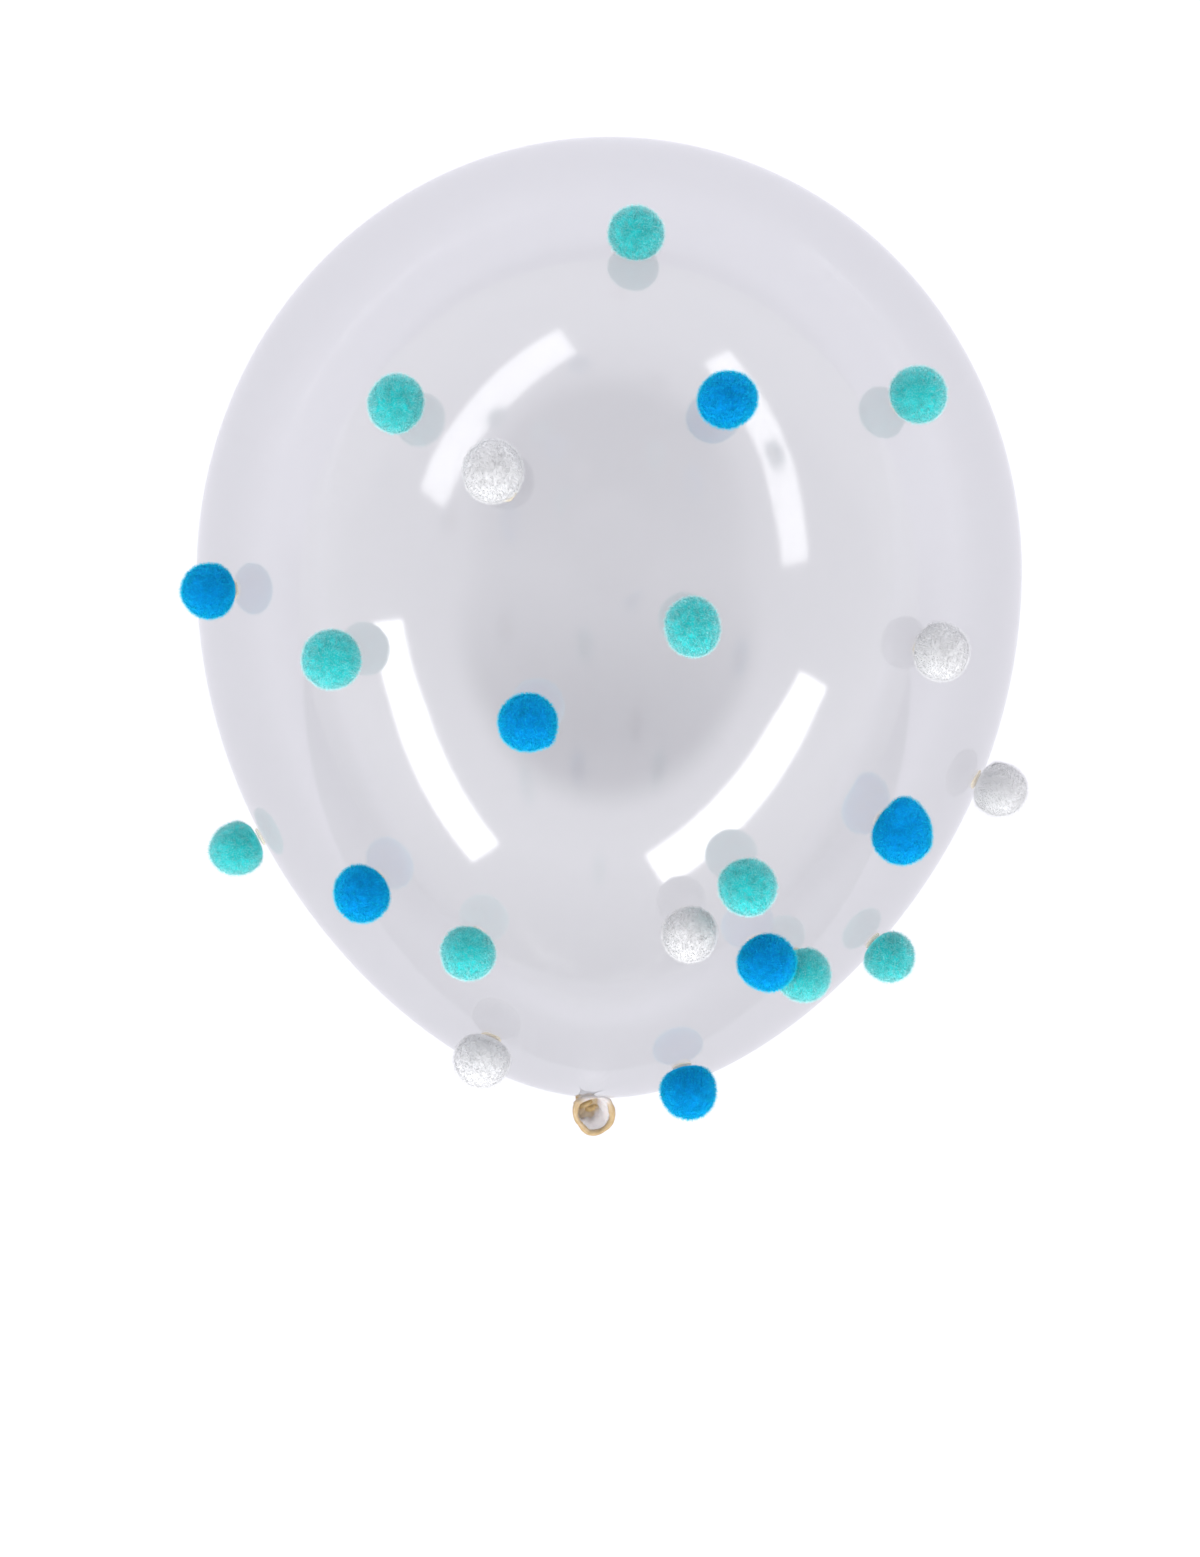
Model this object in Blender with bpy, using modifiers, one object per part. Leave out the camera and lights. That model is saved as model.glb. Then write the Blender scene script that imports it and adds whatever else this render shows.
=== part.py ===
# Clear latex party balloon with pom-poms glued round one side, lying on its balance point.
# Metres and degrees, +Z up. The crown points along +Y and the pom-poms face upwards.
# The balloon has its own frame: +Z to the crown, -Y to the side that lies uppermost.

import math
from collections import namedtuple

import bmesh
import bpy
from mathutils import Matrix, Vector, noise

MODEL_NAME = "Clear balloon with pom-poms"

# Film: an egg turned about its axis. Latitude 0 is the widest ring, 90 the crown, -90 the neck.
FILM_DIAMETER = 0.300
CROWN_REACH = 0.1595
NECK_REACH = 0.2025
NECK_SLIMMING = 0.19
SLIMMING_POWER = 2.25
FILM_STEPS = 48
FILM_ROWS = 32

# Neck and knot: the film gathers to a waist that leans aside, and the knot bulges beyond it.
GATHER_LATITUDE = -77.0
GATHER_EASE = 0.55
NECK_ROWS = 5
NECK_LENGTH = 0.006
NECK_LEAN = 0.005
WAIST_DIAMETER = 0.0062
KNOT_DIAMETER = 0.0105
KNOT_LENGTH = 0.0075
KNOT_ROWS = 5

# Tail: a short flared tube with a rolled rim, folded up beside the knot.
TAIL_LENGTH = 0.0100
TAIL_ROOT_DIAMETER = 0.0050
TAIL_WALL = 0.0007
MOUTH_DIAMETER = 0.0160
RIM_THICKNESS = 0.0023
MOUTH_DEPTH = 0.0050
TAIL_FOLD = 84.0
TAIL_TURN = 20.0
TAIL_STEPS = 16
TAIL_ROWS = 3

# Rest: a small flat where the film meets the surface it lies on.
REST_SPOT_WIDTH = 0.036
FLOOR_CUTTER_SIZE = 0.200

# Glue and pom-poms
GAP = 0.0003
GLUE_DIAMETER = 0.0090
GLUE_TOP_DIAMETER = 0.0076
GLUE_THICKNESS = 0.0013
GLUE_SIDES = 12
GLUE_RUN = 0.0050
GLUE_RUN_ANGLE = 150.0
POMPOM_SIDES = 12
POMPOM_RINGS = 7
LUMP_HEIGHT = 0.03
LUMP_SCALE = 120.0

# Each pom-pom: its place on the film, its diameter, how much longer it is towards the crown
# than across, and how far that end tapers. Angles in degrees.
Pompom = namedtuple("Pompom", "latitude turn diameter stretch taper", defaults=(1.0, 0.0))
POMPOMS = {
    "teal": [
        Pompom(63.0, 5.5, 0.0180),
        Pompom(36.0, -34.5, 0.0180, 1.09),
        Pompom(35.0, 53.0, 0.0190),
        Pompom(13.0, 10.5, 0.0175, 1.13),
        Pompom(5.0, -36.0, 0.0195),
        Pompom(-26.5, -74.0, 0.0195, 0.95),
        Pompom(-26.0, -19.5, 0.0180, 1.03),
        Pompom(-16.5, 19.0, 0.0195, 0.96),
        Pompom(-30.5, 32.5, 0.0185),
        Pompom(-34.0, 55.5, 0.0175),
    ],
    "blue": [
        Pompom(39.0, 18.0, 0.0195, 0.93),
        Pompom(6.5, -61.5, 0.0190, 0.97),
        Pompom(1.5, -9.5, 0.0190),
        Pompom(-21.0, -35.0, 0.0185, 1.10),
        Pompom(-14.0, 42.0, 0.0205, 1.04, 0.25),
        Pompom(-27.0, 24.5, 0.0200, 0.95),
        Pompom(-52.5, 21.5, 0.0200, 0.92),
    ],
    "white": [
        Pompom(30.0, -16.5, 0.0195, 1.06),
        Pompom(5.0, 46.0, 0.0185, 1.05),
        Pompom(-16.0, 68.5, 0.0190, 0.95),
        Pompom(-22.0, 12.0, 0.0180, 1.03),
        Pompom(-46.0, -24.5, 0.0190, 1.05),
    ],
}
GLUE_RUNS_OUT_UNDER = "pompom_white_1"

# Finishes: colour with alpha, roughness
FINISHES = {
    "latex": ((0.80, 0.80, 0.84, 0.45), 0.08),
    "teal": ((0.045, 0.560, 0.520, 1.0), 0.95),
    "blue": ((0.010, 0.260, 0.680, 1.0), 0.95),
    "white": ((0.860, 0.860, 0.870, 1.0), 0.95),
    "glue": ((0.780, 0.560, 0.240, 0.70), 0.25),
}


def remove_scene_objects():
    for item in list(bpy.data.objects):
        bpy.data.objects.remove(item, do_unlink=True)


def new_collection(name):
    collection = bpy.data.collections.new(name)
    bpy.context.scene.collection.children.link(collection)
    return collection


def new_material(name, colour, roughness):
    material = bpy.data.materials.new(name)
    material.use_nodes = True
    shader = material.node_tree.nodes["Principled BSDF"]
    shader.inputs["Base Color"].default_value = colour
    shader.inputs["Alpha"].default_value = colour[3]
    shader.inputs["Roughness"].default_value = roughness
    shader.inputs["Metallic"].default_value = 0.0
    return material


def new_object(name, mesh, collection, parent=None, material=None):
    item = bpy.data.objects.new(name, mesh)
    collection.objects.link(item)
    item.parent = parent
    if material:
        mesh.materials.append(material)
    return item


def make_cutter(item):
    item.hide_render = True
    item.display_type = "WIRE"
    return item


def film_point(latitude, lift=0.0):
    """Point on the film's outline as (radius, height), moved out by lift."""
    rise = math.sin(math.radians(latitude))
    run = math.cos(math.radians(latitude))
    radius = FILM_DIAMETER / 2 * run
    if rise < 0:
        radius *= 1 - NECK_SLIMMING * abs(rise) ** SLIMMING_POWER
    reach = CROWN_REACH if rise >= 0 else NECK_REACH
    point = Vector((radius, reach * rise))
    return point + film_normal(latitude) * lift if lift else point


def film_normal(latitude):
    nearby = 0.01
    along = film_point(latitude + nearby) - film_point(latitude - nearby)
    return Vector((along.y, -along.x)).normalized()


def balance_height(slices=360):
    """Height of the film's centre of volume along its own axis."""
    latitudes = [-90 + 180 * (i + 0.5) / slices for i in range(slices)]
    volume = moment = 0.0
    for latitude in latitudes:
        radius, height = film_point(latitude)
        above = film_point(latitude + 90 / slices).y
        below = film_point(latitude - 90 / slices).y
        disc = radius ** 2 * (above - below)
        volume += disc
        moment += disc * height
    return moment / volume


def rest_latitude():
    """Latitude that lies lowest: the part of the film nearest to the centre of volume."""
    centre = Vector((0.0, balance_height()))
    latitudes = [quarter / 4 for quarter in range(-240, 241)]
    return min(latitudes, key=lambda latitude: (film_point(latitude) - centre).length)


def rest_spot_depth():
    radius = FILM_DIAMETER / 2
    return radius - math.sqrt(radius ** 2 - (REST_SPOT_WIDTH / 2) ** 2)


def new_axis(collection):
    """Empty that carries the balloon's own frame, tipped until it balances on the flat."""
    latitude = rest_latitude()
    normal = film_normal(latitude)
    tilt = math.atan2(-normal.y, normal.x)
    low = film_point(latitude)
    axis = bpy.data.objects.new("Balloon axis", None)
    collection.objects.link(axis)
    axis.rotation_euler.x = tilt - math.pi / 2
    below = low.x * math.cos(tilt) - low.y * math.sin(tilt)
    forward = low.y * math.cos(tilt) + low.x * math.sin(tilt)
    axis.location = (0.0, -forward, below - rest_spot_depth())
    return axis


def frame_on_film(latitude, turn):
    """Frame that stands on the film: X around it, Y towards the crown, Z straight out."""
    turn = math.radians(turn)
    outward = Vector((math.sin(turn), -math.cos(turn), 0.0))
    around = Vector((math.cos(turn), math.sin(turn), 0.0))
    point = film_point(latitude)
    slope = film_normal(latitude)
    normal = outward * slope.x + Vector((0.0, 0.0, slope.y))
    frame = Matrix((around, normal.cross(around), normal)).transposed().to_4x4()
    frame.translation = outward * point.x + Vector((0.0, 0.0, point.y))
    return frame


def bezier(start, start_handle, end_handle, end, share):
    rest = 1 - share
    return (start * rest ** 3 + start_handle * 3 * rest ** 2 * share
            + end_handle * 3 * rest * share ** 2 + end * share ** 3)


def film_outline(lift=0.0):
    """Crown to the ring where the film starts to gather."""
    span = 90 - GATHER_LATITUDE
    latitudes = [90 - span * row / FILM_ROWS for row in range(1, FILM_ROWS + 1)]
    return [Vector((0.0, CROWN_REACH + lift))] + [film_point(angle, lift) for angle in latitudes]


def neck_outline():
    start = film_point(GATHER_LATITUDE)
    slope = film_normal(GATHER_LATITUDE)
    end = Vector((WAIST_DIAMETER / 2, -NECK_REACH - NECK_LENGTH))
    reach = (start - end).length * GATHER_EASE
    start_handle = start + Vector((slope.y, -slope.x)) * reach
    end_handle = end + Vector((0.0, NECK_LENGTH * GATHER_EASE))
    shares = [row / NECK_ROWS for row in range(1, NECK_ROWS + 1)]
    return [bezier(start, start_handle, end_handle, end, share) for share in shares]


def knot_centre():
    return -NECK_REACH - NECK_LENGTH - KNOT_LENGTH / 2


def knot_outline():
    start = math.asin(WAIST_DIAMETER / KNOT_DIAMETER)
    angles = [start + (math.pi - start) * row / KNOT_ROWS for row in range(1, KNOT_ROWS)]
    outline = [Vector((KNOT_DIAMETER / 2 * math.sin(angle),
                       knot_centre() + KNOT_LENGTH / 2 * math.cos(angle))) for angle in angles]
    return outline + [Vector((0.0, knot_centre() - KNOT_LENGTH / 2))]


def tail_outline():
    """From the bottom of the mouth up its inside, round the rolled rim and down the outside."""
    rim_radius = (MOUTH_DIAMETER - RIM_THICKNESS) / 2
    root_radius = TAIL_ROOT_DIAMETER / 2

    def flare(height):
        return root_radius + (rim_radius - root_radius) * math.sqrt(height / TAIL_LENGTH)

    inside = [Vector((0.0, TAIL_LENGTH - MOUTH_DEPTH))]
    for row in range(TAIL_ROWS):
        height = TAIL_LENGTH - MOUTH_DEPTH * (1 - row / TAIL_ROWS)
        inside.append(Vector((flare(height) - TAIL_WALL, height)))
    rim = []
    for angle in range(210, -61, -45):
        turn = math.radians(angle)
        rim.append(Vector((rim_radius + RIM_THICKNESS / 2 * math.cos(turn),
                           TAIL_LENGTH + RIM_THICKNESS / 2 * math.sin(turn))))
    outside = []
    for row in range(TAIL_ROWS - 1, -1, -1):
        height = (TAIL_LENGTH - RIM_THICKNESS) * row / TAIL_ROWS
        outside.append(Vector((flare(height), height)))
    return inside + rim + outside + [Vector((0.0, 0.0))]


def turned(name, outline, steps, collection, parent, material=None):
    """Outline of (radius, height) points turned about Z."""
    mesh = bpy.data.meshes.new(name)
    edges = [(i, i + 1) for i in range(len(outline) - 1)]
    mesh.from_pydata([(point.x, 0.0, point.y) for point in outline], edges, [])
    item = new_object(name, mesh, collection, parent, material)
    screw = item.modifiers.new("Turn", "SCREW")
    screw.steps = steps
    screw.render_steps = steps
    screw.use_merge_vertices = True
    screw.merge_threshold = 0.00001
    screw.use_smooth_shade = True
    return item


def join_or_cut(item, other, operation):
    boolean = item.modifiers.new(operation.title(), "BOOLEAN")
    boolean.operation = operation
    boolean.solver = "EXACT"
    boolean.object = other


def lean_neck(balloon):
    """Shift the gathered rings aside, more and more up to the knot."""
    neck = balloon.vertex_groups.new(name="Neck")
    for row in range(NECK_ROWS + KNOT_ROWS):
        share = min((row + 1) / NECK_ROWS, 1.0)
        neck.add([FILM_ROWS + 1 + row], share ** 2, "REPLACE")
    lean = balloon.modifiers.new("Lean", "DISPLACE")
    lean.direction = "X"
    lean.mid_level = 0.0
    lean.strength = -NECK_LEAN
    lean.vertex_group = neck.name


def new_balloon(parts, cutters, axis, material):
    tail = turned("Tail", tail_outline(), TAIL_STEPS, cutters, axis)
    tail.location = (-NECK_LEAN, 0.0, knot_centre())
    tail.rotation_euler = (math.radians(180 - TAIL_FOLD), 0.0, math.radians(TAIL_TURN))
    make_cutter(tail)

    mesh = bpy.data.meshes.new("Floor cutter")
    shape = bmesh.new()
    bmesh.ops.create_cube(shape, size=FLOOR_CUTTER_SIZE)
    shape.to_mesh(mesh)
    shape.free()
    floor = make_cutter(new_object("Floor cutter", mesh, cutters))
    floor.location.z = -FLOOR_CUTTER_SIZE / 2

    outline = film_outline() + neck_outline() + knot_outline()
    balloon = turned("balloon", outline, FILM_STEPS, parts, axis, material)
    lean_neck(balloon)
    join_or_cut(balloon, tail, "UNION")
    join_or_cut(balloon, floor, "DIFFERENCE")


def new_film_cutter(cutters, axis):
    """The film grown by the gap, closed straight across where it gathers."""
    outline = film_outline(GAP)
    outline.append(Vector((0.0, outline[-1].y)))
    return make_cutter(turned("Film cutter", outline, FILM_STEPS, cutters, axis))


def pompom_shape(name, pompom):
    """Lumpy ball in the frame on the film, flat underneath where the glue holds it."""
    radius = pompom.diameter / 2
    shape = bmesh.new()
    bmesh.ops.create_uvsphere(shape, u_segments=POMPOM_SIDES, v_segments=POMPOM_RINGS, radius=radius)
    for vertex in shape.verts:
        place = Vector((pompom.latitude, pompom.turn, 0.0)) + vertex.co * LUMP_SCALE
        vertex.co *= 1 + LUMP_HEIGHT * noise.noise(place)
        crownward = vertex.co.y / radius
        if crownward > 0:
            narrowing = 1 - pompom.taper * crownward
            vertex.co.x *= narrowing
            vertex.co.z *= narrowing
            vertex.co.y *= 1 + pompom.taper
        vertex.co.y *= pompom.stretch
        vertex.co.z += radius
    seat = GLUE_THICKNESS + GAP
    cut = bmesh.ops.bisect_plane(
        shape, geom=shape.verts[:] + shape.edges[:] + shape.faces[:],
        plane_co=(0.0, 0.0, seat), plane_no=(0.0, 0.0, -1.0), clear_outer=True)
    rim = [edge for edge in cut["geom_cut"] if isinstance(edge, bmesh.types.BMEdge)]
    bmesh.ops.contextual_create(shape, geom=rim)
    bmesh.ops.recalc_face_normals(shape, faces=shape.faces[:])
    mesh = bpy.data.meshes.new(name)
    shape.to_mesh(mesh)
    shape.free()
    mesh.shade_smooth()
    return mesh


def glue_shape(name, run_out):
    """Tapered dot that starts inside the film, so that the film cutter can trim it."""
    height = 2 * GLUE_THICKNESS
    shape = bmesh.new()
    bmesh.ops.create_cone(
        shape, cap_ends=True, segments=GLUE_SIDES,
        radius1=GLUE_DIAMETER / 2, radius2=GLUE_TOP_DIAMETER / 2, depth=height)
    angle = math.radians(GLUE_RUN_ANGLE)
    shift = Vector((math.sin(angle), math.cos(angle), 0.0)) * run_out
    bmesh.ops.translate(shape, verts=shape.verts[:], vec=shift)
    mesh = bpy.data.meshes.new(name)
    shape.to_mesh(mesh)
    shape.free()
    return mesh


def new_pompoms(parts, axis, film_cutter, materials):
    for colour, places in POMPOMS.items():
        for number, pompom in enumerate(places, start=1):
            name = f"pompom_{colour}_{number}"
            frame = frame_on_film(pompom.latitude, pompom.turn)
            ball = new_object(name, pompom_shape(name, pompom), parts, axis, materials[colour])
            ball.matrix_basis = frame

            dot_name = f"glue_dot_{colour}_{number}"
            run_out = GLUE_RUN if name == GLUE_RUNS_OUT_UNDER else 0.0
            mesh = glue_shape(dot_name, run_out)
            dot = new_object(dot_name, mesh, parts, axis, materials["glue"])
            dot.matrix_basis = frame
            join_or_cut(dot, film_cutter, "DIFFERENCE")


def main():
    remove_scene_objects()
    parts = new_collection(MODEL_NAME)
    cutters = new_collection("Cutters")
    materials = {name: new_material(name, *finish) for name, finish in FINISHES.items()}
    axis = new_axis(parts)
    new_balloon(parts, cutters, axis, materials["latex"])
    film_cutter = new_film_cutter(cutters, axis)
    new_pompoms(parts, axis, film_cutter, materials)
    bpy.context.view_layer.update()


main()
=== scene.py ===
import bmesh
import bpy
import math
from mathutils import Matrix, Vector, noise


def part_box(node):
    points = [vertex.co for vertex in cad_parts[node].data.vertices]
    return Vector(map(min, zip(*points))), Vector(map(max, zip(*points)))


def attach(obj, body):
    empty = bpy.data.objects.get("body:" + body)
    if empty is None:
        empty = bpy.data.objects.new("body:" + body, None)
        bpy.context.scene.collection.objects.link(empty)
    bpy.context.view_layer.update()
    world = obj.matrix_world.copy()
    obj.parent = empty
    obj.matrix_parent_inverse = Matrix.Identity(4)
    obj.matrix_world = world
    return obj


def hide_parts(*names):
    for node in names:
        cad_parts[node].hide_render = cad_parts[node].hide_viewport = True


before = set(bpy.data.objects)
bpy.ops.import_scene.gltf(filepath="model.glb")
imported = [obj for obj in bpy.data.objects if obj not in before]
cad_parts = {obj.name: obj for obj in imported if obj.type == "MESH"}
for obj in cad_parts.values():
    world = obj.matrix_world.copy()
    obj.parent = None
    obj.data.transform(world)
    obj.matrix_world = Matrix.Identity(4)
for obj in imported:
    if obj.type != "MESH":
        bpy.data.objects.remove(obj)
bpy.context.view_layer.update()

# Clear party balloon with pom-poms glued on one side. It lies on its balance point, crown
# along +Y, and the camera looks down on it. Metres, angles in degrees.

print("balloon: frame loaded,", len(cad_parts), "solids")


# little helpers

def addPiece(name, mesh):
    piece = bpy.data.objects.new(name, mesh)
    bpy.context.scene.collection.objects.link(piece)
    return piece


def addNode(tree, kind, at=(0, 0), values=None, **settings):
    # the settings come first, because they decide which inputs a node has
    node = tree.nodes.new(kind)
    node.location = at
    for key, value in settings.items():
        setattr(node, key, value)
    for socket, value in (values or {}).items():
        node.inputs[socket].default_value = value
    return node


def newTree(name, kind, inputs, outputs):
    tree = bpy.data.node_groups.new(name, kind)
    for direction, sockets in (("INPUT", inputs), ("OUTPUT", outputs)):
        for label, socketType in sockets.items():
            tree.interface.new_socket(label, in_out=direction, socket_type=socketType)
    return tree, addNode(tree, "NodeGroupInput", (-900, 0)), addNode(tree, "NodeGroupOutput", (1300, 0))


def feed(tree, value, socket):
    # a socket is linked, a plain value is set
    if isinstance(value, bpy.types.NodeSocket):
        tree.links.new(value, socket)
    elif value is not None:
        socket.default_value = value


def mathNode(tree, operation, first, second=None, at=(0, 0)):
    node = addNode(tree, "ShaderNodeMath", at, operation=operation)
    feed(tree, first, node.inputs[0])
    feed(tree, second, node.inputs[1])
    return node.outputs[0]


def rangeNode(tree, value, start, end, low=0.0, high=1.0, at=(0, 0), kind="SMOOTHSTEP"):
    # low up to start, high from end on
    node = addNode(tree, "ShaderNodeMapRange", at,
                   {"From Min": start, "From Max": end, "To Min": low, "To Max": high},
                   interpolation_type=kind)
    tree.links.new(value, node.inputs["Value"])
    return node.outputs["Result"]


def mixColours(tree, share, first, second, at=(0, 0)):
    # first and second are sockets or (red, green, blue)
    node = addNode(tree, "ShaderNodeMix", at, data_type="RGBA")
    tree.links.new(share, node.inputs[0])
    for value, socket in ((first, node.inputs[6]), (second, node.inputs[7])):
        feed(tree, (*value, 1.0) if isinstance(value, tuple) else value, socket)
    return node.outputs[2]


def addBump(tree, height, strength, depth, shader, at):
    bump = addNode(tree, "ShaderNodeBump", at, {"Strength": strength, "Distance": depth})
    tree.links.new(height, bump.inputs["Height"])
    tree.links.new(bump.outputs["Normal"], shader.inputs["Normal"])


def setInputs(node, values):
    for socket, value in values.items():
        node.inputs[socket].default_value = value


def bakeTree(piece, tree, values, meshName):
    # run a geometry tree on a piece with these input values, and keep the result as a plain mesh
    modifier = piece.modifiers.new(tree.name, "NODES")
    modifier.node_group = tree
    for socket in tree.interface.items_tree:
        if socket.item_type == "SOCKET" and socket.in_out == "INPUT" and socket.name in values:
            modifier[socket.identifier] = values[socket.name]
    graph = bpy.context.evaluated_depsgraph_get()
    mesh = bpy.data.meshes.new_from_object(piece.evaluated_get(graph), depsgraph=graph)
    mesh.name = meshName
    piece.modifiers.remove(modifier)
    bpy.data.objects.remove(piece)
    return mesh


def plainMaterial(name):
    material = bpy.data.materials.new(name)
    material.use_nodes = True
    tree = material.node_tree
    return material, tree, tree.nodes["Principled BSDF"]


# camera: past straight overhead, leaning to the crown side

view = {
    "distance": 1.8065,
    "pastOverhead": 9.6,
    "roll": 1.1,
    "lens": 114.45,
    "aimRight": -0.0019,
    "aimUp": -0.07395,
}

# the film, an egg turned about its own axis, then a gathered neck

film = {
    "diameter": 0.300,
    "crownReach": 0.1595,
    "neckReach": 0.2025,
    "neckSlimming": 0.19,
    "slimmingPower": 2.25,
    "restSpotWidth": 0.036,
    "gatherLatitude": -77.0,
    "gatherEase": 0.55,
    "neckLength": 0.0072,
    "neckLean": 0.005,
    "waistDiameter": 0.0054,
    "rows": 190,
    "neckRows": 26,
    "steps": 288,
    "pleats": 18,
    "pleatDepth": 0.0002,
    "thickFrom": -60.0,
    "neckBuild": 0.30,
    "waistBuild": 0.55,
    "buildFade": 0.008,        # how fast the latex thins away from the waist
    "alpha": 0.30,
    "roughness": 0.085,
    "ior": 2.5,
    "specular": 1.0,
    "colour": (0.030, 0.030, 0.040),
    "cloudColour": (0.050, 0.050, 0.062),
    "paleColour": (0.56, 0.52, 0.51),
    "mouthColour": (0.70, 0.655, 0.64),
    "cloudSize": 9.0,
    "cloudContrast": 1.6,
    "cloudStretch": (1.0, 0.7, 1.0),
    "paleBuild": (0.22, 0.36),     # thicker than this the latex turns pale
    "amberBuild": (0.60, 0.95),    # and thicker than this amber
    "thickAlpha": 0.95,
}


def filmPoint(latitude):
    # (radius, height) on the film's outline
    rise = math.sin(math.radians(latitude))
    radius = film["diameter"] / 2 * math.cos(math.radians(latitude))
    if rise < 0:
        radius *= 1 - film["neckSlimming"] * abs(rise) ** film["slimmingPower"]
    return Vector((radius, (film["crownReach"] if rise >= 0 else film["neckReach"]) * rise))


def filmNormal(latitude):
    along = filmPoint(latitude + 0.01) - filmPoint(latitude - 0.01)
    return Vector((along.y, -along.x)).normalized()


def balanceHeight(slices=360):
    volume = moment = 0.0
    for i in range(slices):
        latitude = -90 + 180 * (i + 0.5) / slices
        radius, height = filmPoint(latitude)
        disc = radius ** 2 * (filmPoint(latitude + 90 / slices).y - filmPoint(latitude - 90 / slices).y)
        volume += disc
        moment += disc * height
    return moment / volume


def balloonFrame():
    # the balloon's own frame: Z to the crown, -Y to the uppermost side, tipped until it balances
    centre = Vector((0.0, balanceHeight()))
    lowest = min((quarter / 4 for quarter in range(-240, 241)),
                 key=lambda latitude: (filmPoint(latitude) - centre).length)
    normal = filmNormal(lowest)
    tilt = math.atan2(-normal.y, normal.x)
    low = filmPoint(lowest)
    below = low.x * math.cos(tilt) - low.y * math.sin(tilt)
    forward = low.y * math.cos(tilt) + low.x * math.sin(tilt)
    radius = film["diameter"] / 2
    flat = radius - math.sqrt(radius ** 2 - (film["restSpotWidth"] / 2) ** 2)
    place = Matrix.Translation((0.0, -forward, below - flat))
    return place @ Matrix.Rotation(tilt - math.pi / 2, 4, "X")


ownFrame = balloonFrame()
middle = ownFrame.translation


def bezier(start, startHandle, endHandle, end, share):
    rest = 1 - share
    return (start * rest ** 3 + startHandle * 3 * rest ** 2 * share
            + endHandle * 3 * rest * share ** 2 + end * share ** 3)


def filmOutline():
    # rings from the crown to the waist: radius, height, how far gathered, how thick the latex is
    rings = [(0.0, film["crownReach"], 0.0, 0.0)]
    span = 90 - film["gatherLatitude"]
    for row in range(1, film["rows"] + 1):
        latitude = 90 - span * row / film["rows"]
        radius, height = filmPoint(latitude)
        build = max(0.0, (film["thickFrom"] - latitude) / (film["thickFrom"] - film["gatherLatitude"]))
        rings.append((radius, height, 0.0, film["neckBuild"] * build ** 1.5))
    start = filmPoint(film["gatherLatitude"])
    slope = filmNormal(film["gatherLatitude"])
    end = Vector((film["waistDiameter"] / 2, -film["neckReach"] - film["neckLength"]))
    startHandle = start + Vector((slope.y, -slope.x)) * (start - end).length * film["gatherEase"]
    endHandle = end + Vector((0.0, film["neckLength"] * film["gatherEase"]))
    for row in range(1, film["neckRows"] + 1):
        share = row / film["neckRows"]
        radius, height = bezier(start, startHandle, endHandle, end, share)
        build = (film["waistBuild"] - film["neckBuild"]) * math.exp((end.x - radius) / film["buildFade"])
        rings.append((radius, height, share, film["neckBuild"] + build))
    rings.append((0.0, end.y - 0.002, 1.0, film["waistBuild"]))
    return rings


# tree that turns an outline about Z, then leans and pleats it where it gathers

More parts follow.
